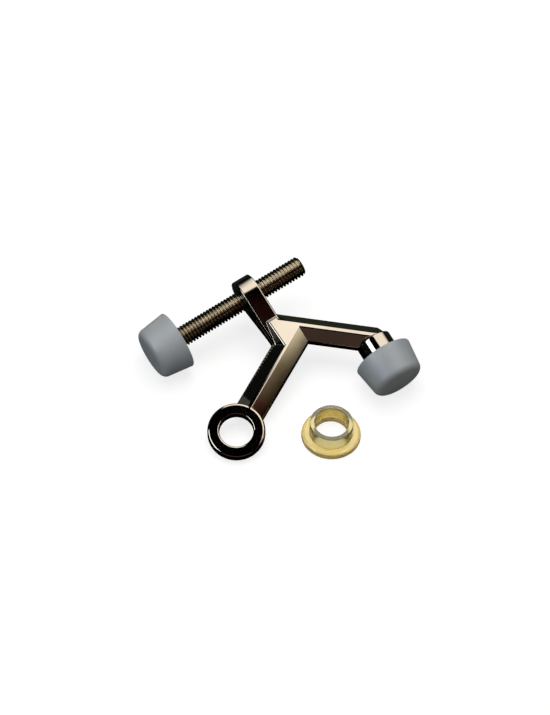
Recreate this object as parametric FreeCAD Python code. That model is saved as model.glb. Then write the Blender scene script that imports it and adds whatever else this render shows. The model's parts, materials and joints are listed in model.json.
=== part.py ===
import FreeCAD, Part
import math
import os

# Hinge pin door stop: a cast fork with an eye for the hinge pin, a screwed rod with a rubber
# bumper through the fork's upper lug, a second rubber bumper on the fork's end, and a loose
# plastic bushing for the same hinge pin. Millimetres and degrees.
# The origin is the middle of the eye's bore, +Z runs along the hinge pin, and the fork lies
# in a plane square to it. Angles in that plane are counted from +X towards +Y.

# Eye that goes over the hinge pin
eye_outer_diameter = 16.6
eye_bore_diameter = 9.8
eye_thickness = 3.2
eye_rim_radius = 0.7
eye_mouth_radius = 0.45

# Leg and arm: bars with narrow flat sides, and a narrow ridge above and below
ridge_height = 4.2
side_height = 2.4
ridge_radius = 0.6
ridge_round_share = 0.8
leg_length = 36.8
leg_angle = 61.0
leg_width = 8.6
leg_ridge_width = 0.9
arm_length = 21.3
arm_angle = -8.2
arm_width = 7.0
arm_ridge_width = 1.2
arm_end_setback = 1.5
arm_corner_reach = 1.1
arm_corner_inset = 1.4
arm_end_bevel = 1.0

# Upper lug: it stands on the leg, a little short of the fork, and ends in a round boss for the rod
lug_setback = 6.9
lug_length = 19.75
lug_width = 5.4
lug_edge_radius = 0.4
lug_foot_radius = 1.5
boss_diameter = 11.6
boss_mouth_chamfer = 0.4

# Web that joins the lug, the leg and the arm at the ridges' height
web_rise = 0.9
web_left_bevel = 2.2
web_right_bevel = 0.5
web_end_bevel = 3.4
web_left_shoulder = 0.3
web_right_inset = 0.2

# Screwed rod
rod_angle = 33.0
rod_diameter = 6.0
rod_reach = 14.9
rod_bumper_gap = 21.9
rod_end_chamfer = 0.6
rod_thread_clearance = 0.05

# Rubber bumpers, both alike
bumper_rear_diameter = 17.6
bumper_front_diameter = 15.0
bumper_length = 9.5
bumper_front_radius = 2.0
bumper_rear_radius = 0.35
bumper_seat_depth = 6.5
bumper_seat_clearance = 0.03
bumper_hole_end_gap = 0.2

# Collar and peg that carry the fixed bumper
fixed_bumper_angle = -59.0
collar_diameter = 10.4
collar_length = 4.3
collar_edge_radius = 0.4
collar_root = 1.0

# Loose bushing: a flanged spacer for the hinge pin, standing on the table that the stop lies on
bushing_bore_diameter = 9.7
bushing_sleeve_diameter = 12.5
bushing_flange_diameter = 17.0
bushing_flange_thickness = 1.9
bushing_height = 6.3
bushing_flange_radius = 1.2
bushing_edge_radius = 0.25
bushing_place_x = 27.0
bushing_place_y = 0.6

# Levels and places that follow from the sizes above
bar_level = eye_thickness / 2 - ridge_height
rod_radius = rod_diameter / 2
peg_radius = rod_radius
UP = FreeCAD.Vector(0, 0, 1)
SAME = 1e-6
TABLE_STEPS = 20


def heading(angle):
    """Unit vector in the fork's plane."""
    return FreeCAD.Vector(math.cos(math.radians(angle)), math.sin(math.radians(angle)), 0)


def left_of(direction):
    """Unit vector a quarter turn to the left of a direction in the fork's plane."""
    return UP.cross(direction)


leg_run = heading(leg_angle)
arm_run = heading(arm_angle)
rod_run = heading(rod_angle)
lug_run = left_of(rod_run)
bumper_run = heading(fixed_bumper_angle)
eye_on_plane = FreeCAD.Vector(0, 0, bar_level)
fork = eye_on_plane + leg_run * leg_length
lug_root = fork - leg_run * lug_setback
boss_centre = lug_root + lug_run * lug_length
rod_free_end = boss_centre + rod_run * (lug_width / 2 + rod_reach)
rod_bumper_seat = boss_centre - rod_run * (lug_width / 2 + rod_bumper_gap)
arm_end = fork + arm_run * arm_length + bumper_run * arm_end_setback
fixed_bumper_seat = arm_end + bumper_run * collar_length


def lowest_point(rim, normal):
    """Point of a rounded rim that lies lowest along a normal."""
    centre, axis, radius, rounding = rim
    across = normal - axis * normal.dot(axis)
    return centre - across * (radius / across.Length) - normal * rounding


def find_table():
    """Plane that the stop lies on, with its eye and both bumpers: a point on it and its normal."""
    eye_rim = (UP * (eye_rim_radius - eye_thickness / 2), UP,
               eye_outer_diameter / 2 - eye_rim_radius, eye_rim_radius)
    bumper_rim_radius = bumper_rear_diameter / 2 - bumper_rear_radius
    rod_rim = (rod_bumper_seat - rod_run * bumper_rear_radius, rod_run,
               bumper_rim_radius, bumper_rear_radius)
    fixed_rim = (fixed_bumper_seat + bumper_run * bumper_rear_radius, bumper_run,
                 bumper_rim_radius, bumper_rear_radius)
    normal = (UP * leg_length + leg_run * bumper_rear_diameter / 2).normalize()
    for step in range(TABLE_STEPS):
        eye, rod, fixed = [lowest_point(rim, normal) for rim in (eye_rim, rod_rim, fixed_rim)]
        normal = (fixed - eye).cross(rod - eye).normalize()
    return eye, normal


def side_line(point, direction, offset=0.0):
    """Line along a bar's side: a point on it and its direction, moved to the left by offset."""
    return point + left_of(direction) * offset, direction


def moved_in(line, run):
    """The same line, moved to its left, which is towards the inside of an outline."""
    return side_line(line[0], line[1], run)


def crossing(first, second):
    """Point where two lines of the fork's plane meet."""
    gap = second[0] - first[0]
    turn = first[1].cross(second[1]).z
    return first[0] + first[1] * (gap.cross(second[1]).z / turn)


def corners(lines):
    """Corners of the outline that the lines make, each line with the one after it."""
    following = lines[1:] + lines[:1]
    return [crossing(line, after) for line, after in zip(lines, following)]


def polygon_face(points):
    return Part.Face(Part.makePolygon(points + points[:1]))


def bands_between(first, second):
    """Flat faces that join two outlines, side by side."""
    return [polygon_face([first[i - 1], first[i], second[i], second[i - 1]]) for i in range(len(first))]


def fork_sides():
    """Sides of the fork's outline, counter-clockwise, each with the run of its bevel."""
    leg_bevel = (leg_width - leg_ridge_width) / 2
    arm_bevel = (arm_width - arm_ridge_width) / 2
    arm_top = side_line(fork, arm_run * -1, -arm_width / 2)
    lug_right = side_line(lug_root, lug_run, web_right_inset - lug_width / 2)
    web_end = crossing(arm_top, lug_right) + lug_run * web_rise
    return [
        (side_line(eye_on_plane, leg_run, -leg_width / 2), leg_bevel),
        (side_line(fork, arm_run, -arm_width / 2), arm_bevel),
        (side_line(arm_end, left_of(bumper_run)), arm_end_bevel),
        (arm_top, arm_bevel),
        (lug_right, web_right_bevel),
        (side_line(web_end, rod_run * -1), web_end_bevel),
        (side_line(lug_root, lug_run * -1, -web_left_shoulder - lug_width / 2), web_left_bevel),
        (side_line(eye_on_plane, leg_run * -1, -leg_width / 2), leg_bevel),
        (side_line(eye_on_plane, left_of(leg_run) * -1), 0.0),
    ]


def make_bars():
    """Leg, arm and web as one bevelled solid with rounded ridges, ending at the eye's axis."""
    sides = fork_sides()
    outline = corners([line for line, bevel in sides])
    ridge = corners([moved_in(line, bevel) for line, bevel in sides])
    upper_side = [point + UP * (side_height / 2) for point in outline]
    lower_side = [point - UP * (side_height / 2) for point in outline]
    upper_ridge = [point + UP * ridge_height for point in ridge]
    lower_ridge = [point - UP * ridge_height for point in ridge]
    faces = [polygon_face(upper_ridge), polygon_face(lower_ridge)]
    for rims in ((upper_ridge, upper_side), (upper_side, lower_side), (lower_side, lower_ridge)):
        faces += bands_between(*rims)
    bars = Part.Solid(Part.makeShell(faces))
    rounding = min(ridge_radius, ridge_round_share * min(leg_ridge_width, arm_ridge_width))
    bars = bars.makeFillet(rounding, [edge for edge in bars.Edges if is_ridge_edge(edge)])
    return bars.cut(make_arm_corner())


def make_arm_corner():
    """What is cut off the arm's outer corner, from beside the collar to the arm's upper side."""
    collar_side = arm_end + left_of(bumper_run) * (collar_diameter / 2 - arm_corner_inset)
    arm_corner = fork + arm_run * (arm_length + arm_corner_reach) + left_of(arm_run) * arm_width / 2
    outside = arm_run * arm_width
    block = polygon_face([collar_side, collar_side + outside, arm_corner + outside, arm_corner])
    block.translate(UP * (-2 * ridge_height))
    return block.extrude(UP * 4 * ridge_height)


def is_ridge_edge(edge):
    """True for the edges round the ridges, apart from those over the eye's axis."""
    box = edge.BoundBox
    level_edge = box.ZLength < SAME and abs(abs(box.ZMin - bar_level) - ridge_height) < SAME
    middle = edge.CenterOfMass - eye_on_plane
    return level_edge and middle.dot(leg_run) > SAME


def make_eye():
    """Flat ring with rounded rims, its top level with the leg's upper ridge."""
    base = FreeCAD.Vector(0, 0, -eye_thickness / 2)
    ring = Part.makeCylinder(eye_outer_diameter / 2, eye_thickness, base, UP)
    bore = Part.makeCylinder(eye_bore_diameter / 2, eye_thickness, base, UP)
    ring = ring.cut(bore)
    ring = ring.makeFillet(eye_rim_radius, round_edges(ring, eye_outer_diameter / 2))
    return ring.makeFillet(eye_mouth_radius, round_edges(ring, eye_bore_diameter / 2))


def round_edges(solid, radius):
    """Full circles of one radius on a solid."""
    circles = [edge for edge in solid.Edges if edge.Curve.TypeId == "Part::GeomCircle"]
    return [edge for edge in circles if abs(edge.Curve.Radius - radius) < SAME]


def make_lug():
    """Boss and its neck: a drop-shaped plate square to the rod, tapering down to the leg."""
    boss_radius = boss_diameter / 2
    lean = math.asin((boss_radius - lug_foot_radius) / lug_length)
    over = UP * math.cos(lean) - lug_run * math.sin(lean)
    under = UP * -math.cos(lean) - lug_run * math.sin(lean)
    boss = boss_centre - rod_run * lug_width / 2
    foot = lug_root - rod_run * lug_width / 2
    boss_top = boss + over * boss_radius
    boss_bottom = boss + under * boss_radius
    foot_top = foot + over * lug_foot_radius
    foot_bottom = foot + under * lug_foot_radius
    wire = Part.Wire([
        Part.LineSegment(foot_top, boss_top).toShape(),
        Part.Arc(boss_top, boss + lug_run * boss_radius, boss_bottom).toShape(),
        Part.LineSegment(boss_bottom, foot_bottom).toShape(),
        Part.Arc(foot_bottom, foot - lug_run * lug_foot_radius, foot_top).toShape(),
    ])
    plate = Part.Face(wire).extrude(rod_run * lug_width)
    rims = [edge for edge in plate.Edges if abs(edge.tangentAt(edge.FirstParameter).dot(rod_run)) < SAME]
    return plate.makeFillet(lug_edge_radius, rims)


def make_collar():
    """Round collar on the arm's end, with the peg that the fixed bumper is pushed onto."""
    collar = Part.makeCylinder(collar_diameter / 2, collar_root + collar_length,
                               arm_end - bumper_run * collar_root, bumper_run)
    collar = collar.makeFillet(collar_edge_radius, round_edges(collar, collar_diameter / 2))
    peg = Part.makeCylinder(peg_radius, bumper_seat_depth, fixed_bumper_seat, bumper_run)
    tip = [edge for edge in round_edges(peg, peg_radius)
           if (edge.CenterOfMass - fixed_bumper_seat).Length > bumper_seat_depth / 2]
    return collar.fuse(peg.makeChamfer(rod_end_chamfer, tip))


def make_bracket():
    """The casting: eye, leg, arm, web, lug with its boss, collar and peg."""
    depth = 4 * ridge_height + eye_thickness
    eye_room = Part.makeCylinder(eye_outer_diameter / 2 - eye_rim_radius, depth,
                                 FreeCAD.Vector(0, 0, -depth / 2), UP)
    casting = make_bars().cut(eye_room)
    casting = casting.fuse([make_eye(), make_lug(), make_collar()])
    hole_radius = rod_radius + rod_thread_clearance
    hole = Part.makeCylinder(hole_radius, lug_width, boss_centre - rod_run * lug_width / 2, rod_run)
    casting = casting.cut(hole)
    mouths = round_edges(casting, hole_radius)
    return casting.makeChamfer(boss_mouth_chamfer, mouths).removeSplitter()


def make_rod():
    """Screwed rod at its full thread diameter, chamfered at both ends."""
    length = bumper_seat_depth + rod_bumper_gap + lug_width + rod_reach
    rod = Part.makeCylinder(rod_radius, length, rod_free_end, rod_run * -1)
    return rod.makeChamfer(rod_end_chamfer, round_edges(rod, rod_radius))


def make_bumper(seat, direction):
    """Tapered rubber bumper with a blind hole, its wide rear face at the seat."""
    rear_radius = bumper_rear_diameter / 2
    front_radius = bumper_front_diameter / 2
    cone = Part.makeCone(rear_radius, front_radius, bumper_length, seat, direction)
    cone = cone.makeFillet(bumper_front_radius, round_edges(cone, front_radius))
    cone = cone.makeFillet(bumper_rear_radius, round_edges(cone, rear_radius))
    hole = Part.makeCylinder(rod_radius + bumper_seat_clearance, bumper_seat_depth + bumper_hole_end_gap,
                             seat, direction)
    return cone.cut(hole)


def bushing_base():
    """Middle of the bushing's foot, on the table, and the table's normal."""
    point, normal = find_table()
    foot = FreeCAD.Vector(bushing_place_x, bushing_place_y, 0)
    return foot + UP * ((point - foot).dot(normal) / normal.z), normal


def make_bushing():
    """Flanged sleeve, standing on its flange, whose upper edge is well rounded."""
    base, upright = bushing_base()
    flange_radius = bushing_flange_diameter / 2
    bore_radius = bushing_bore_diameter / 2
    sleeve = Part.makeCylinder(bushing_sleeve_diameter / 2, bushing_height, base, upright)
    flange = Part.makeCylinder(flange_radius, bushing_flange_thickness, base, upright)
    bore = Part.makeCylinder(bore_radius, bushing_height, base, upright)
    bushing = sleeve.fuse(flange).cut(bore).removeSplitter()

    def level(edge):
        return (edge.CenterOfMass - base).dot(upright)

    rounding = min(bushing_flange_radius, bushing_flange_thickness - 2 * bushing_edge_radius)
    upper_rim = [edge for edge in round_edges(bushing, flange_radius) if level(edge) > SAME]
    bushing = bushing.makeFillet(rounding, upper_rim)
    lower_rim = [edge for edge in round_edges(bushing, flange_radius) if level(edge) < SAME]
    return bushing.makeFillet(bushing_edge_radius, lower_rim + round_edges(bushing, bore_radius))


def main():
    os.makedirs("parts", exist_ok=True)
    pieces = {
        "bracket": make_bracket(),
        "threaded_rod": make_rod(),
        "rod_bumper": make_bumper(rod_bumper_seat, rod_run * -1),
        "fixed_bumper": make_bumper(fixed_bumper_seat, bumper_run),
        "bushing": make_bushing(),
    }
    for node, shape in pieces.items():
        print(node, shape.isValid(), len(shape.Solids), round(shape.Volume, 2), shape.BoundBox)
        shape.exportStep(os.path.join("parts", node + ".step"))


main()
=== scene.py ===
"""Looks of a hinge pin door stop: polished casting, screwed rod, rubber bumpers and a loose bushing."""
import json
import math

import bmesh
import bpy
import numpy as np
from bpy.props import (
    FloatProperty,
    FloatVectorProperty,
    IntProperty,
    PointerProperty,
)
from mathutils import Matrix, Vector


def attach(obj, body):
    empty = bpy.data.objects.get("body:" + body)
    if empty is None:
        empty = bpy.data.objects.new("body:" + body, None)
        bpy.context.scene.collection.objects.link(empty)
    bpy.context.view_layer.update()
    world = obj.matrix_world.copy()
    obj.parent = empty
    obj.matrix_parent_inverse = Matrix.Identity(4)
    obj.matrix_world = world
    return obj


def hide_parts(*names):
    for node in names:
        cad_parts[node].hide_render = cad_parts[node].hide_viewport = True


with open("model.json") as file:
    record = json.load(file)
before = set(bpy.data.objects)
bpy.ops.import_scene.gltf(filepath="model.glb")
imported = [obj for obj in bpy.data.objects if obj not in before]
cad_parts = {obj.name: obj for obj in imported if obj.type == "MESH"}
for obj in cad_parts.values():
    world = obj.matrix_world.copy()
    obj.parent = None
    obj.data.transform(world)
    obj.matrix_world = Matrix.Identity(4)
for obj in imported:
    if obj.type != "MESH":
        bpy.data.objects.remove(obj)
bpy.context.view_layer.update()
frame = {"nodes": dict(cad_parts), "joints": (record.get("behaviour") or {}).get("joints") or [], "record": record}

bl_info = {
    "name": "Hinge Pin Door Stop",
    "version": (1, 0, 0),
    "blender": (4, 5, 0),
    "location": "3D View > Sidebar > Door Stop",
    "description": "Dresses the solids of a hinge pin door stop and sets up its studio",
    "category": "Object",
}

MM = 0.001
MOUNTS = {mount["name"]: mount for mount in frame["record"]["mounts"]}
JOINTS = {joint["name"]: joint for joint in frame["joints"]}
ROD_POINT = Vector(JOINTS["rod_turn"]["pos_m"])
ROD_AXIS = Vector(JOINTS["rod_turn"]["axis"]).normalized()
TABLE_NORMAL = Vector(MOUNTS["bushing_bore"]["axis"]).normalized()
BUSHING_MIDDLE = Vector(MOUNTS["bushing_bore"]["pos_m"])

POLE_RADIUS = 1e-6 * MM
MERGE_DISTANCE = 1e-4 * MM
TURNED_SHARP_ANGLE = math.radians(35)
THREAD_SHARP_ANGLE = math.radians(50)
SQUARE = ((-1, -1), (1, -1), (1, 1), (-1, 1))


# Reading the solids

def span_along(node, point, axis):
    """Lowest and highest reach of a solid along an axis, and its largest distance from it."""
    vertices = frame["nodes"][node].data.vertices
    places = np.empty(len(vertices) * 3)
    vertices.foreach_get("co", places)
    offsets = places.reshape(-1, 3) - np.array(point)
    along = offsets @ np.array(axis)
    away = np.linalg.norm(offsets - np.outer(along, np.array(axis)), axis=1)
    return float(along.min()), float(along.max()), float(away.max())


def upright_at(point, axis):
    """Matrix of a place whose own Z runs along an axis."""
    turn = Vector(axis).to_track_quat("Z", "Y").to_matrix().to_4x4()
    return Matrix.Translation(point) @ turn


# Settings

class CastingSettings(bpy.types.PropertyGroup):
    """Finish of the polished casting."""
    colour: FloatVectorProperty(
        name="Plating", description="Colour that the plating reflects face on",
        subtype="COLOR", size=3, min=0, max=1, default=(0.27, 0.237, 0.196))
    roughness: FloatProperty(
        name="Roughness", description="Blur of the polish",
        subtype="FACTOR", min=0, max=1, default=0.045)
    edge_rounding: FloatProperty(
        name="Edge Rounding", description="Rounding that polishing leaves on the edges",
        unit="LENGTH", subtype="DISTANCE", min=0, default=0.35 * MM)


class RodSettings(bpy.types.PropertyGroup):
    """Thread and finish of the screwed rod."""
    pitch: FloatProperty(
        name="Pitch", description="Advance of the thread in one turn",
        unit="LENGTH", subtype="DISTANCE", min=0.2 * MM, default=1.0 * MM)
    depth: FloatProperty(
        name="Depth", description="Depth of the thread",
        unit="LENGTH", subtype="DISTANCE", min=0, default=0.52 * MM)
    end_chamfer: FloatProperty(
        name="End Chamfer", description="Chamfer at both ends of the rod",
        unit="LENGTH", subtype="DISTANCE", min=0, default=0.6 * MM)
    segments: IntProperty(
        name="Segments", description="Steps round one turn of the thread", min=12, default=72)
    steps: IntProperty(
        name="Steps", description="Steps from one crest to the next", min=6, default=12)
    colour: FloatVectorProperty(
        name="Plating", description="Colour that the plating reflects face on",
        subtype="COLOR", size=3, min=0, max=1, default=(0.27, 0.225, 0.16))


class BumperSettings(bpy.types.PropertyGroup):
    """Shape and finish of the two rubber bumpers."""
    front_diameter: FloatProperty(
        name="Front Diameter", description="Diameter at the front before its edge is rounded",
        unit="LENGTH", subtype="DISTANCE", min=0, default=15.0 * MM)
    front_rounding: FloatProperty(
        name="Front Rounding", description="Radius of the front edge",
        unit="LENGTH", subtype="DISTANCE", min=0, default=2.0 * MM)
    rear_rounding: FloatProperty(
        name="Rear Rounding", description="Radius of the rear edge",
        unit="LENGTH", subtype="DISTANCE", min=0, default=0.35 * MM)
    hole_diameter: FloatProperty(
        name="Hole Diameter", description="Hole for the rod or the peg",
        unit="LENGTH", subtype="DISTANCE", min=0, default=6.06 * MM)
    hole_depth: FloatProperty(
        name="Hole Depth", description="Depth of that hole",
        unit="LENGTH", subtype="DISTANCE", min=0, default=6.7 * MM)
    colour: FloatVectorProperty(
        name="Rubber", description="Colour of the rubber",
        subtype="COLOR", size=3, min=0, max=1, default=(0.345, 0.36, 0.365))


class BushingSettings(bpy.types.PropertyGroup):
    """Shape and finish of the loose bushing."""
    sleeve_diameter: FloatProperty(
        name="Sleeve Diameter", description="Outer diameter of the sleeve",
        unit="LENGTH", subtype="DISTANCE", min=0, default=12.5 * MM)
    flange_thickness: FloatProperty(
        name="Flange Thickness", description="Thickness of the flange",
        unit="LENGTH", subtype="DISTANCE", min=0, default=1.9 * MM)
    flange_rounding: FloatProperty(
        name="Flange Rounding", description="Radius of the flange's upper edge",
        unit="LENGTH", subtype="DISTANCE", min=0, default=1.2 * MM)
    rounding: FloatProperty(
        name="Rounding", description="Radius of the other moulded edges",
        unit="LENGTH", subtype="DISTANCE", min=0, default=0.25 * MM)
    colour: FloatVectorProperty(
        name="Plastic", description="Colour of the thick, translucent plastic",
        subtype="COLOR", size=3, min=0, max=1, default=(0.88, 0.62, 0.12))
    wall_colour: FloatVectorProperty(
        name="Wall", description="Paler colour of the thin sleeve",
        subtype="COLOR", size=3, min=0, max=1, default=(0.71, 0.64, 0.33))


class StageSettings(bpy.types.PropertyGroup):
    """Camera, lamps and the panels that the polish mirrors."""
    elevation: FloatProperty(
        name="Elevation", description="Angle of the camera above the fork's plane",
        unit="ROTATION", subtype="ANGLE", default=math.radians(69))
    distance: FloatProperty(
        name="Distance", description="Distance from the camera to the stop",
        unit="LENGTH", subtype="DISTANCE", min=0.1, default=1.5)
    view_height: FloatProperty(
        name="View Height", description="Height of what the camera sees at that distance",
        unit="LENGTH", subtype="DISTANCE", min=0.01, default=0.2038)
    target: FloatVectorProperty(
        name="Target", description="Point in the middle of the picture",
        subtype="TRANSLATION", unit="LENGTH", size=3, default=(0.0110, 0.0198, 0.0076))
    lamp_power: FloatProperty(
        name="Soft Box", description="Power of the large soft box",
        unit="POWER", min=0, default=5.0)
    window_power: FloatProperty(
        name="Window", description="Power of the cool light from the left",
        unit="POWER", min=0, default=1.2)
    panel_glow: FloatProperty(
        name="Panel", description="Brightness of the panels that the polish mirrors",
        min=0, default=3.4)
    panel_edge: FloatProperty(
        name="Panel Edge",
        description="Place of the overhead panel's slanted front edge, which the leg mirrors",
        unit="LENGTH", subtype="DISTANCE", default=0.142)
    panel_softness: FloatProperty(
        name="Panel Softness", description="Half width of that soft front edge",
        unit="LENGTH", subtype="DISTANCE", min=0, default=0.010)
    window_glow: FloatProperty(
        name="Window Glow", description="Brightness of the window that the polish mirrors",
        min=0, default=7.0)
    ambient: FloatProperty(
        name="Ambient", description="Brightness of the even light from all sides",
        min=0, default=0.25)


class DoorStopSettings(bpy.types.PropertyGroup):
    """All settings of the door stop."""
    casting: PointerProperty(type=CastingSettings)
    rod: PointerProperty(type=RodSettings)
    bumpers: PointerProperty(type=BumperSettings)
    bushing: PointerProperty(type=BushingSettings)
    stage: PointerProperty(type=StageSettings)


# Meshes

def add_to_scene(name, data):
    """New object in the scene."""
    made = bpy.data.objects.new(name, data)
    bpy.context.scene.collection.objects.link(made)
    return made


def finished_mesh(name, mesh, sharp_angle, place):
    """Object from a bmesh put in its place, smooth but for its sharp edges, with faces turned outwards."""
    bmesh.ops.recalc_face_normals(mesh, faces=mesh.faces)
    for face in mesh.faces:
        face.smooth = True
    data = bpy.data.meshes.new(name)
    mesh.to_mesh(data)
    mesh.free()
    data.transform(place)
    data.set_sharp_from_angle(angle=sharp_angle)
    return add_to_scene(name, data)


def rounded_outline(corners, steps=8):
    """Outline through (radius, height, rounding) corners, each rounded by an arc."""
    points = []
    count = len(corners)
    for i, (r, z, rounding) in enumerate(corners):
        corner = Vector((r, z))
        if rounding == 0:
            points.append(corner)
            continue
        before = (Vector(corners[i - 1][:2]) - corner).normalized()
        after = (Vector(corners[(i + 1) % count][:2]) - corner).normalized()
        half = before.angle(after) / 2
        centre = corner + (before + after).normalized() * (rounding / math.sin(half))
        start = corner + before * (rounding / math.tan(half)) - centre
        end = corner + after * (rounding / math.tan(half)) - centre
        sweep = start.angle_signed(end)
        for k in range(steps + 1):
            points.append(centre + Matrix.Rotation(-sweep * k / steps, 2) @ start)
    return points


def turned_mesh(name, outline, place, segments=128):
    """Closed solid turned from an outline of (radius, height) points; a radius of 0 is a pole."""
    mesh = bmesh.new()
    angles = [2 * math.pi * k / segments for k in range(segments)]
    rings = []
    for r, z in outline:
        if r < POLE_RADIUS:
            rings.append([mesh.verts.new((0, 0, z))] * segments)
            continue
        rings.append([mesh.verts.new((r * math.cos(a), r * math.sin(a), z)) for a in angles])
    for lower, upper in zip(rings, rings[1:] + rings[:1]):
        for k in range(segments):
            after = (k + 1) % segments
            loop = list(dict.fromkeys((lower[k], lower[after], upper[after], upper[k])))
            if len(loop) > 2:
                mesh.faces.new(loop)
    return finished_mesh(name, mesh, TURNED_SHARP_ANGLE, place)


def thread_fall(phase):
    """Share of the thread's depth at a place between two crests: 0 on a crest, 1 in the root."""
    crest_flat = 0.26
    root_flat = 0.2
    from_crest = abs((phase + 0.5) % 1 - 0.5) * 2
    fall = (from_crest - crest_flat) / (1 - crest_flat - root_flat)
    fall = min(max(fall, 0.0), 1.0)
    eased = fall * fall * (3 - 2 * fall)
    return (fall + eased) / 2


def thread_mesh(name, length, radius, settings, place):
    """Rod with a right-hand thread along its own Z, from 0 to its length, chamfered at both ends."""
    mesh = bmesh.new()
    around, steps, pitch = settings.segments, settings.steps, settings.pitch
    # The thread starts a turn below the rod and ends a turn above it, and both ends are pressed flat
    turns = length / pitch + 2
    rows = math.ceil(steps * turns)
    grid = []
    for row in range(rows + 1):
        thread_radius = radius - settings.depth * thread_fall(row / steps)
        line = []
        for k in range(around):
            height = (row / steps + k / around - 1) * pitch
            height = min(max(height, 0.0), length)
            end_radius = radius - settings.end_chamfer + min(height, length - height)
            r = min(thread_radius, end_radius)
            angle = 2 * math.pi * k / around
            line.append(mesh.verts.new((r * math.cos(angle), r * math.sin(angle), height)))
        grid.append(line)
    last = around - 1
    for row in range(rows):
        for k in range(last):
            mesh.faces.new((grid[row][k], grid[row][k + 1], grid[row + 1][k + 1], grid[row + 1][k]))
        over = row + steps
        if over < rows:
            mesh.faces.new((grid[row][last], grid[over][0], grid[over + 1][0], grid[row + 1][last]))
    bmesh.ops.remove_doubles(mesh, verts=mesh.verts, dist=MERGE_DISTANCE)
    loose = [vertex for vertex in mesh.verts if not vertex.link_faces]
    bmesh.ops.delete(mesh, geom=loose, context="VERTS")
    rims = [edge for edge in mesh.edges if edge.is_boundary]
    bmesh.ops.holes_fill(mesh, edges=rims, sides=0)
    return finished_mesh(name, mesh, THREAD_SHARP_ANGLE, place)


# Materials

class Recipe:
    """A material's node tree, with one principled shader to fill in."""

    def __init__(self, name):
        self.material = bpy.data.materials.new(name)
        self.material.use_nodes = True
        self.tree = self.material.node_tree
        self.shader = self.tree.nodes["Principled BSDF"]
        self.place = self.add("ShaderNodeTexCoord").outputs["Object"]

    def add(self, kind, **settings):
        """New node with its properties set."""
        made = self.tree.nodes.new(kind)
        for key, value in settings.items():
            setattr(made, key, value)
        return made

    def feed(self, socket, value):
        """Sets a socket to a number or a colour, or links it to an output."""
        if isinstance(value, bpy.types.NodeSocket):
            self.tree.links.new(value, socket)
        else:
            socket.default_value = value

    def set(self, **values):
        """Fills in the shader's own sockets, named with underscores for spaces."""
        for key, value in values.items():
            self.feed(self.shader.inputs[key.replace("_", " ")], value)

    def seen_from(self, place):
        """Coordinates with the origin and axes of a place."""
        mapping = self.add("ShaderNodeMapping", vector_type="TEXTURE")
        self.feed(mapping.inputs["Vector"], self.place)
        mapping.inputs["Location"].default_value = place.translation
        mapping.inputs["Rotation"].default_value = place.to_euler()
        return mapping.outputs["Vector"]

    def noise(self, scale, detail, stretch=(1, 1, 1)):
        """Noise with about scale features to the metre."""
        mapping = self.add("ShaderNodeMapping")
        self.feed(mapping.inputs["Vector"], self.place)
        mapping.inputs["Scale"].default_value = stretch
        made = self.add("ShaderNodeTexNoise")
        self.feed(made.inputs["Vector"], mapping.outputs["Vector"])
        made.inputs["Scale"].default_value = scale
        made.inputs["Detail"].default_value = detail
        return made.outputs["Fac"]

    def rings(self, scale, distortion, spot):
        """Waves in rings round the Z of given coordinates."""
        made = self.add("ShaderNodeTexWave", wave_type="RINGS", rings_direction="Z")
        self.feed(made.inputs["Vector"], spot)
        made.inputs["Scale"].default_value = scale
        made.inputs["Distortion"].default_value = distortion
        return made.outputs["Fac"]

    def height(self, spot):
        """Z of given coordinates."""
        made = self.add("ShaderNodeSeparateXYZ")
        self.feed(made.inputs["Vector"], spot)
        return made.outputs["Z"]

    def ranged(self, value, low, high, start, end):
        """Value spread from start-end to low-high."""
        made = self.add("ShaderNodeMapRange")
        self.feed(made.inputs["Value"], value)
        made.inputs["From Min"].default_value = start
        made.inputs["From Max"].default_value = end
        made.inputs["To Min"].default_value = low
        made.inputs["To Max"].default_value = high
        return made.outputs["Result"]

    def blend(self, factor, first, second):
        """Colour between two colours."""
        made = self.add("ShaderNodeMix", data_type="RGBA")
        self.feed(made.inputs["Factor"], factor)
        self.feed(made.inputs["A"], first)
        self.feed(made.inputs["B"], second)
        return made.outputs["Result"]

    def mottled(self, noise, first, second, most=1.0):
        """Colour that drifts with a noise from one colour towards another, up to a share of the way."""
        return self.blend(self.ranged(noise, 0, most, start=0.35, end=0.65), first, second)

    def uneven(self, noise, low, high):
        """Number that drifts with a noise between two limits."""
        return self.ranged(noise, low, high, start=0.3, end=0.7)

    def bump(self, height, depth, strength, normal=None):
        """Normal bent by a height of 0 to 1 over a depth in metres."""
        made = self.add("ShaderNodeBump")
        self.feed(made.inputs["Height"], height)
        made.inputs["Distance"].default_value = depth
        made.inputs["Strength"].default_value = strength
        if normal is not None:
            self.feed(made.inputs["Normal"], normal)
        return made.outputs["Normal"]

    def rounded_edges(self, radius):
        """Normal that runs smoothly over the edges."""
        made = self.add("ShaderNodeBevel", samples=16)
        made.inputs["Radius"].default_value = radius
        return made.outputs["Normal"]


def shade(colour, factor):
    """Colour times a factor, with full alpha."""
    return (*[min(c * factor, 1.0) for c in colour], 1.0)


def polished_plating(settings):
    """Black nickel on a hand-polished casting: clear mirror with faint waves and buffing lines."""
    recipe = Recipe("polished_black_nickel")
    clouds = recipe.noise(scale=90, detail=2)
    haze = recipe.noise(scale=700, detail=4)
    buffing = recipe.noise(scale=2500, detail=2, stretch=(1.0, 0.12, 1.0))
    colour = recipe.mottled(clouds, shade(settings.colour, 0.92), shade(settings.colour, 1.06))
    rounded = recipe.rounded_edges(settings.edge_rounding)
    waves = recipe.bump(clouds, depth=0.03 * MM, strength=0.6, normal=rounded)
    normal = recipe.bump(buffing, depth=0.0006 * MM, strength=0.5, normal=waves)
    roughness = recipe.uneven(haze, settings.roughness * 0.7, settings.roughness * 1.5)
    recipe.set(Base_Color=colour, Metallic=1.0, Roughness=roughness, Normal=normal)
    return recipe.material


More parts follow.
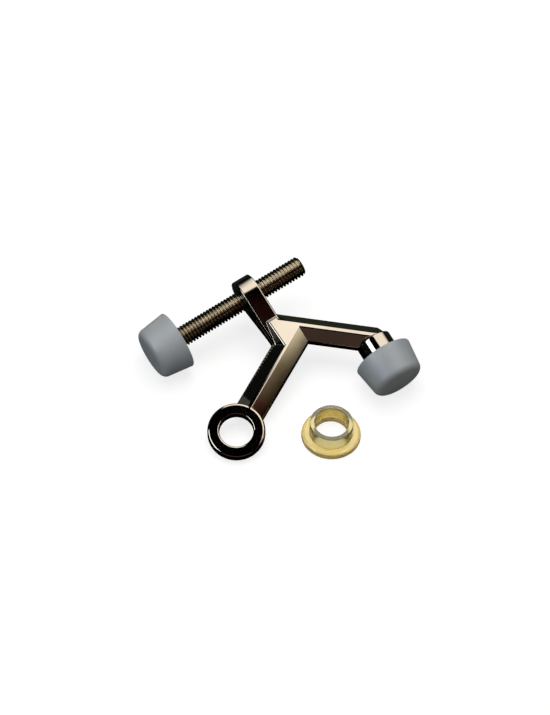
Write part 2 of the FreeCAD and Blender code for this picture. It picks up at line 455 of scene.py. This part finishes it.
def rolled_plating(settings):
    """Warm plating on a rolled thread, duller in patches."""
    recipe = Recipe("plated_thread")
    patches = recipe.noise(scale=400, detail=4)
    colour = recipe.mottled(patches, shade(settings.colour, 0.85), shade(settings.colour, 1.1))
    grain = recipe.noise(scale=4000, detail=3)
    normal = recipe.bump(grain, depth=0.002 * MM, strength=0.3)
    roughness = recipe.uneven(patches, low=0.06, high=0.12)
    recipe.set(Base_Color=colour, Metallic=1.0, Roughness=roughness, Normal=normal)
    return recipe.material


def moulded_rubber(settings):
    """Satin grey rubber with a fine moulded grain and slightly uneven colour."""
    recipe = Recipe("grey_rubber")
    tint = recipe.noise(scale=120, detail=3)
    grain = recipe.noise(scale=5500, detail=3)
    red, green, blue = settings.colour
    bluish = (red * 0.93, green * 0.97, blue * 1.04)
    colour = recipe.mottled(tint, shade(bluish, 0.95), shade(settings.colour, 1.04))
    normal = recipe.bump(grain, depth=0.01 * MM, strength=0.5)
    roughness = recipe.uneven(grain, low=0.42, high=0.56)
    recipe.set(Base_Color=colour, Roughness=roughness, Normal=normal, IOR=1.5, Specular_IOR_Level=0.45)
    return recipe.material


def straw_plastic(settings, place):
    """Translucent straw plastic, paler in the thin sleeve, with flow clouds and faint mould rings."""
    recipe = Recipe("straw_plastic")
    clouds = recipe.noise(scale=260, detail=3)
    spot = recipe.seen_from(place)
    rings = recipe.rings(scale=330, distortion=0.4, spot=spot)
    full_colour_height = 0.5 * MM
    pale_height = settings.flange_thickness + 1.5 * MM
    thin = recipe.ranged(recipe.height(spot), 0, 1, start=full_colour_height, end=pale_height)
    straw = recipe.blend(thin, shade(settings.colour, 1.0), shade(settings.wall_colour, 1.0))
    colour = recipe.mottled(clouds, straw, shade(settings.wall_colour, 0.9), most=0.25)
    normal = recipe.bump(rings, depth=0.012 * MM, strength=0.4)
    roughness = recipe.uneven(clouds, low=0.08, high=0.15)
    recipe.set(Base_Color=colour, Roughness=roughness, Normal=normal, IOR=1.5, Specular_IOR_Level=0.3,
               Transmission_Weight=0.85, Subsurface_Weight=1.0, Subsurface_Radius=(1.0, 0.8, 0.35),
               Subsurface_Scale=2.5 * MM)
    return recipe.material


def dress(piece, material):
    """Gives a piece one material all over."""
    piece.data.materials.clear()
    piece.data.materials.append(material)


# Materials of the stage

def empty_material(name):
    """Material without nodes, ready to fill."""
    material = bpy.data.materials.new(name)
    material.use_nodes = True
    material.node_tree.nodes.clear()
    return material


def calculated(tree, operation, first, second):
    """Output of a math node that takes two outputs."""
    made = tree.nodes.new("ShaderNodeMath")
    made.operation = operation
    tree.links.new(first, made.inputs[0])
    tree.links.new(second, made.inputs[1])
    return made.outputs["Value"]


def mixed(tree, factor, first, second):
    """Shader between two shaders."""
    made = tree.nodes.new("ShaderNodeMixShader")
    tree.links.new(factor, made.inputs["Fac"])
    tree.links.new(first, made.inputs[1])
    tree.links.new(second, made.inputs[2])
    return made.outputs["Shader"]


def in_view(tree):
    """1 for rays from the camera, a mirror or a clear piece, 0 for scattered light."""
    path = tree.nodes.new("ShaderNodeLightPath")
    total = path.outputs["Is Camera Ray"]
    for name in ("Is Glossy Ray", "Is Transmission Ray"):
        total = calculated(tree, "MAXIMUM", total, path.outputs[name])
    return total


def floor_material():
    """White floor that keeps the shadow, gives off little scattered light and is open from below."""
    paper_grey = 0.3
    glow_strength = 0.78
    material = empty_material("white_floor")
    tree = material.node_tree
    output = tree.nodes.new("ShaderNodeOutputMaterial")
    paper = tree.nodes.new("ShaderNodeBsdfDiffuse")
    paper.inputs["Color"].default_value = (paper_grey, paper_grey, paper_grey, 1)
    glow = tree.nodes.new("ShaderNodeEmission")
    glow.inputs["Strength"].default_value = glow_strength
    glowing = tree.nodes.new("ShaderNodeAddShader")
    tree.links.new(paper.outputs["BSDF"], glowing.inputs[0])
    tree.links.new(glow.outputs["Emission"], glowing.inputs[1])
    upper_side = mixed(tree, in_view(tree), paper.outputs["BSDF"], glowing.outputs["Shader"])
    clear = tree.nodes.new("ShaderNodeBsdfTransparent")
    side = tree.nodes.new("ShaderNodeNewGeometry")
    both_sides = mixed(tree, side.outputs["Backfacing"], upper_side, clear.outputs["BSDF"])
    tree.links.new(both_sides, output.inputs["Surface"])
    return material


def share_along(tree, place, direction, low, high):
    """Node that goes from 0 to 1 between two distances along a direction."""
    along = tree.nodes.new("ShaderNodeVectorMath")
    along.operation = "DOT_PRODUCT"
    along.inputs[1].default_value = direction
    share = tree.nodes.new("ShaderNodeMapRange")
    share.inputs["From Min"].default_value = low
    share.inputs["From Max"].default_value = high
    tree.links.new(place, along.inputs[0])
    tree.links.new(along.outputs["Value"], share.inputs["Value"])
    return share


def rising_strength(tree, place, strength, rises):
    """Strength that rises smoothly along each of some (direction, low, high) rises."""
    shares = []
    for rise in rises:
        share = share_along(tree, place, *rise)
        share.interpolation_type = "SMOOTHSTEP"
        shares.append(share)
    shares[0].inputs["To Max"].default_value = strength
    level = shares[0].outputs["Result"]
    for share in shares[1:]:
        level = calculated(tree, "MULTIPLY", level, share.outputs["Result"])
    return level


def colour_run(tree, place, colours, span):
    """Colour that runs through evenly spaced colours over a (direction, low, high) span."""
    ramp = tree.nodes.new("ShaderNodeValToRGB")
    stops = ramp.color_ramp.elements
    last = len(colours) - 1
    for k in range(1, last):
        stops.new(k / last)
    for stop, colour in zip(stops, colours):
        stop.color = (*colour, 1)
    share = share_along(tree, place, *span)
    tree.links.new(share.outputs["Result"], ramp.inputs["Fac"])
    return ramp.outputs["Color"]


def glow_material(name, strength, colours, span=None, rises=()):
    """Glow of a studio card, of one colour or of several over a span, that may rise from its edges."""
    material = empty_material(name)
    tree = material.node_tree
    output = tree.nodes.new("ShaderNodeOutputMaterial")
    glow = tree.nodes.new("ShaderNodeEmission")
    glow.inputs["Color"].default_value = (*colours[0], 1)
    glow.inputs["Strength"].default_value = strength
    tree.links.new(glow.outputs["Emission"], output.inputs["Surface"])
    place = tree.nodes.new("ShaderNodeTexCoord").outputs["Object"]
    if rises:
        tree.links.new(rising_strength(tree, place, strength, rises), glow.inputs["Strength"])
    if span:
        tree.links.new(colour_run(tree, place, colours, span), glow.inputs["Color"])
    return material


# Stage

def flat_sheet(name, corners, material):
    """One flat face with a material."""
    data = bpy.data.meshes.new(name)
    data.from_pydata(corners, [], [tuple(range(len(corners)))])
    made = add_to_scene(name, data)
    dress(made, material)
    return made


def card(name, corners, material):
    """Flat studio card that only mirrors show."""
    made = flat_sheet(name, corners, material)
    made.visible_camera = False
    made.visible_diffuse = False
    made.visible_transmission = False
    made.visible_volume_scatter = False
    made.visible_shadow = False


def upright_card(name, first, second, foot, top, material):
    """Studio card that stands between two (x, y) places."""
    card(name, [(*first, foot), (*second, foot), (*second, top), (*first, top)], material)


def card_facing(name, direction, distance, width, height, material):
    """Studio card square to a direction from the stop."""
    towards = Vector(direction).normalized()
    place = upright_at(towards * distance, towards)
    corners = [place @ Vector((x * width / 2, y * height / 2, 0)) for x, y in SQUARE]
    card(name, corners, material)


def table_point(x, y, lift=0.0):
    """Point of the table under a place, lifted along its normal."""
    foot = span_along("bushing", BUSHING_MIDDLE, TABLE_NORMAL)[0]
    origin = BUSHING_MIDDLE + TABLE_NORMAL * (foot + lift)
    flat = Vector((x, y, 0))
    return flat + Vector((0, 0, (origin - flat).dot(TABLE_NORMAL) / TABLE_NORMAL.z))


def make_floor():
    """Large white floor on the plane that the stop lies on."""
    half = 3.0
    corners = [table_point(x * half, y * half) for x, y in SQUARE]
    floor = flat_sheet("floor", corners, floor_material())


def make_tent():
    """Dark tent and table top that keep the plating black where no panel shows; the table top's glow is nil under
    the stop, a painted shadow that the polish mirrors.
    """
    far, low, high = 0.7, -0.4, 0.9
    table_lift = 0.05 * MM
    corners = [(x * far, y * far) for x, y in SQUARE]
    # Painted shadow: the table's glow is nil under the stop and rises behind it, so that mirrored table stands
    # dark where the stop would shade it.
    table_glow_with_painted_shadow = glow_material("dark_table", strength=0.06, colours=[(0.75, 1.0, 0.7)],
                                rises=[((0, 1, 0), 0.03, 0.09)])
    brown_black = glow_material("tent_front", strength=0.15, colours=[(1.0, 0.68, 0.58)])
    black = glow_material("tent_sides", strength=0.015, colours=[(0.75, 1.0, 1.0)])
    card("dark_table", [table_point(x, y, table_lift) for x, y in corners], table_glow_with_painted_shadow)
    card("tent_top", [(x, y, high) for x, y in corners], black)
    names = ("tent_front", "tent_right", "tent_back", "tent_left")
    for name, first, second in zip(names, corners, corners[1:] + corners[:1]):
        material = brown_black if name == "tent_front" else black
        upright_card(name, first, second, low, high, material)


def make_panels(settings):
    """Bright panels overhead and behind, soft at their edges."""
    left, right, near, back = -0.3, 0.6, -0.2, 0.6
    foot, top, foot_softness = 0.08, 0.3, 0.14
    edge, soft = settings.panel_edge, settings.panel_softness
    warm_white = (1.0, 0.97, 0.93)
    left_rise = ((1, 0.4, 0), 0.02, 0.055)
    right_rise = ((-1, 0.6, 0), -0.22, -0.14)
    front_rise = ((0.8, 1, 0), edge - soft, edge + soft)
    foot_rise = ((0, 0, 1), foot, foot + foot_softness)
    over = glow_material("panel_top", settings.panel_glow, [warm_white],
                         rises=[left_rise, right_rise, front_rise])
    behind = glow_material("panel_back", settings.panel_glow, [warm_white],
                           rises=[left_rise, right_rise, foot_rise])
    card("panel_top", [(left, near, top), (right, near, top), (right, back, top), (left, back, top)], over)
    upright_card("panel_back", (left, back), (right, back), foot, top, behind)


def make_window(settings):
    """Cool window up at the left."""
    window = glow_material("window", settings.window_glow, [(0.82, 0.93, 1.0)])
    card_facing("window", direction=(-0.62, 0.0, 0.78), distance=0.33, width=0.24, height=0.16,
                material=window)


def make_warm_wall():
    """Warm wall close at the right, dark at its near end and bright at its far end."""
    wall_x, near, far, foot, top = 0.14, -0.08, 0.025, 0.015, 0.12
    brown, straw, pale = (0.2, 0.08, 0.06), (0.75, 0.65, 0.42), (3.0, 2.75, 2.2)
    wall = glow_material("warm_wall", strength=1.0, colours=[brown, straw, pale],
                         span=((0, 1, -0.25), -0.03, 0.0), rises=[((0, 0.22, 1), 0.05, 0.06)])
    upright_card("warm_wall", (wall_x, near), (wall_x, far), foot, top, wall)


def make_small_cards():
    """Faint red card overhead, and a brown one low at the front right."""
    red = glow_material("red_card", strength=0.09, colours=[(1.0, 0.3, 0.25)],
                        rises=[((0, -1, 0), -0.05, -0.025), ((-1, 0, 0), -0.09, -0.072)])
    card_facing("red_card", direction=(0.275, 0.12, 0.955), distance=0.3, width=0.06, height=0.06,
                material=red)
    brown = glow_material("low_card", strength=0.3, colours=[(1.0, 0.85, 0.75)])
    card_facing("low_card", direction=(0.69, -0.7, -0.02), distance=0.3, width=0.25, height=0.1,
                material=brown)


def make_lamp(name, place, size, power, colour, target):
    """Square soft box aimed at a point; the cards stand in for it in the polish."""
    data = bpy.data.lights.new(name, "AREA")
    data.shape = "SQUARE"
    data.size = size
    data.energy = power
    data.color = colour
    lamp = add_to_scene(name, data)
    lamp.location = place
    lamp.rotation_euler = (Vector(target) - Vector(place)).to_track_quat("-Z", "Y").to_euler()
    lamp.visible_camera = False
    lamp.visible_glossy = False


def make_lamps(settings):
    """Large soft box up behind the stop, and a smaller, cool one at the left."""
    make_lamp("soft_box", place=(0.05, 0.42, 0.75), size=0.7, power=settings.lamp_power,
              colour=(1.0, 0.98, 0.95), target=settings.target)
    make_lamp("window_light", place=(-0.55, -0.15, 0.5), size=0.4, power=settings.window_power,
              colour=(0.82, 0.92, 1.0), target=settings.target)


def make_world(ambient):
    """White surroundings: full white where they are seen, dim as a light."""
    world = bpy.data.worlds.new("white_room")
    world.use_nodes = True
    bpy.context.scene.world = world
    tree = world.node_tree
    background = tree.nodes["Background"]
    background.inputs["Color"].default_value = (1, 1, 1, 1)
    spread = tree.nodes.new("ShaderNodeMapRange")
    tree.links.new(in_view(tree), spread.inputs["Value"])
    spread.inputs["To Min"].default_value = ambient
    spread.inputs["To Max"].default_value = 1.0
    tree.links.new(spread.outputs["Result"], background.inputs["Strength"])


def make_camera(settings):
    """Long lens, looking down on the fork along +Y."""
    data = bpy.data.cameras.new("camera")
    data.sensor_width = 36
    data.lens = data.sensor_width * settings.distance / settings.view_height
    data.clip_start = 0.05
    data.clip_end = 20
    back = Vector((0, -math.cos(settings.elevation), math.sin(settings.elevation)))
    camera = add_to_scene("camera", data)
    camera.location = Vector(settings.target) + back * settings.distance
    camera.rotation_euler = (-back).to_track_quat("-Z", "Y").to_euler()
    bpy.context.scene.camera = camera


# Operators

class DOORSTOP_OT_casting(bpy.types.Operator):
    """Polish and plate the casting"""
    bl_idname = "doorstop.casting"
    bl_label = "Casting"

    def execute(self, context):
        settings = context.scene.door_stop.casting
        dress(frame["nodes"]["bracket"], polished_plating(settings))
        return {"FINISHED"}


class DOORSTOP_OT_rod(bpy.types.Operator):
    """Cut the thread of the screwed rod"""
    bl_idname = "doorstop.rod"
    bl_label = "Screwed Rod"

    def execute(self, context):
        settings = context.scene.door_stop.rod
        low, high, radius = span_along("threaded_rod", ROD_POINT, ROD_AXIS)
        place = upright_at(ROD_POINT + ROD_AXIS * low, ROD_AXIS)
        rod = thread_mesh("screwed_rod", high - low, radius, settings, place)
        dress(rod, rolled_plating(settings))
        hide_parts("threaded_rod")
        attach(rod, "threaded_rod")
        return {"FINISHED"}


class DOORSTOP_OT_bumpers(bpy.types.Operator):
    """Mould both rubber bumpers"""
    bl_idname = "doorstop.bumpers"
    bl_label = "Bumpers"

    def execute(self, context):
        settings = context.scene.door_stop.bumpers
        rubber = moulded_rubber(settings)
        hole = settings.hole_diameter / 2
        for node, body in (("rod_bumper", "rod_bumper"), ("fixed_bumper", "bracket")):
            face = MOUNTS[node + "_face"]
            front, out = Vector(face["pos_m"]), Vector(face["axis"]).normalized()
            low, high, rear_radius = span_along(node, front, out)
            length = high - low
            outline = rounded_outline([
                (hole, 0, 0),
                (rear_radius, 0, settings.rear_rounding),
                (settings.front_diameter / 2, length, settings.front_rounding),
                (0, length, 0),
                (0, settings.hole_depth, 0),
                (hole, settings.hole_depth, 0),
            ])
            bumper = turned_mesh(node + "_rubber", outline, upright_at(front + out * low, out))
            dress(bumper, rubber)
            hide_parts(node)
            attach(bumper, body)
        return {"FINISHED"}


class DOORSTOP_OT_bushing(bpy.types.Operator):
    """Mould the loose bushing"""
    bl_idname = "doorstop.bushing"
    bl_label = "Bushing"

    def execute(self, context):
        settings = context.scene.door_stop.bushing
        low, high, flange = span_along("bushing", BUSHING_MIDDLE, TABLE_NORMAL)
        bore = MOUNTS["bushing_bore"]["dims"]["r_mm"] * MM
        sleeve = settings.sleeve_diameter / 2
        height = high - low
        soft = settings.rounding
        outline = rounded_outline([
            (bore, 0, soft),
            (flange, 0, soft),
            (flange, settings.flange_thickness, settings.flange_rounding),
            (sleeve, settings.flange_thickness, soft),
            (sleeve, height, soft),
            (bore, height, soft),
        ])
        place = upright_at(BUSHING_MIDDLE + TABLE_NORMAL * low, TABLE_NORMAL)
        bushing = turned_mesh("bushing_moulding", outline, place)
        dress(bushing, straw_plastic(settings, place))
        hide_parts("bushing")
        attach(bushing, "bracket")
        return {"FINISHED"}


class DOORSTOP_OT_stage(bpy.types.Operator):
    """Set up floor, cards, lamps and camera"""
    bl_idname = "doorstop.stage"
    bl_label = "Stage"

    def execute(self, context):
        settings = context.scene.door_stop.stage
        context.scene.view_settings.view_transform = "Standard"
        make_floor()
        make_tent()
        make_panels(settings)
        make_window(settings)
        make_warm_wall()
        make_small_cards()
        make_lamps(settings)
        make_world(settings.ambient)
        make_camera(settings)
        return {"FINISHED"}


STEPS = (
    DOORSTOP_OT_casting,
    DOORSTOP_OT_rod,
    DOORSTOP_OT_bumpers,
    DOORSTOP_OT_bushing,
    DOORSTOP_OT_stage,
)


# Sidebar and registration

class DOORSTOP_PT_sidebar(bpy.types.Panel):
    """Lists the settings and steps of the door stop"""
    bl_idname = "DOORSTOP_PT_sidebar"
    bl_label = "Door Stop"
    bl_space_type = "VIEW_3D"
    bl_region_type = "UI"
    bl_category = "Door Stop"

    def draw(self, context):
        groups = context.scene.door_stop
        names = ("casting", "rod", "bumpers", "bushing", "stage")
        for step, name in zip(STEPS, names):
            box = self.layout.box()
            settings = getattr(groups, name)
            for key in settings.bl_rna.properties.keys():
                if key not in ("rna_type", "name"):
                    box.prop(settings, key)
            box.operator(step.bl_idname)


CLASSES = (
    CastingSettings,
    RodSettings,
    BumperSettings,
    BushingSettings,
    StageSettings,
    DoorStopSettings,
    *STEPS,
    DOORSTOP_PT_sidebar,
)


def register():
    for cls in CLASSES:
        bpy.utils.register_class(cls)
    bpy.types.Scene.door_stop = PointerProperty(type=DoorStopSettings)


def unregister():
    del bpy.types.Scene.door_stop
    for cls in reversed(CLASSES):
        bpy.utils.unregister_class(cls)


def main():
    register()
    bpy.ops.doorstop.casting()
    bpy.ops.doorstop.rod()
    bpy.ops.doorstop.bumpers()
    bpy.ops.doorstop.bushing()
    bpy.ops.doorstop.stage()


if __name__ == "__main__":
    main()
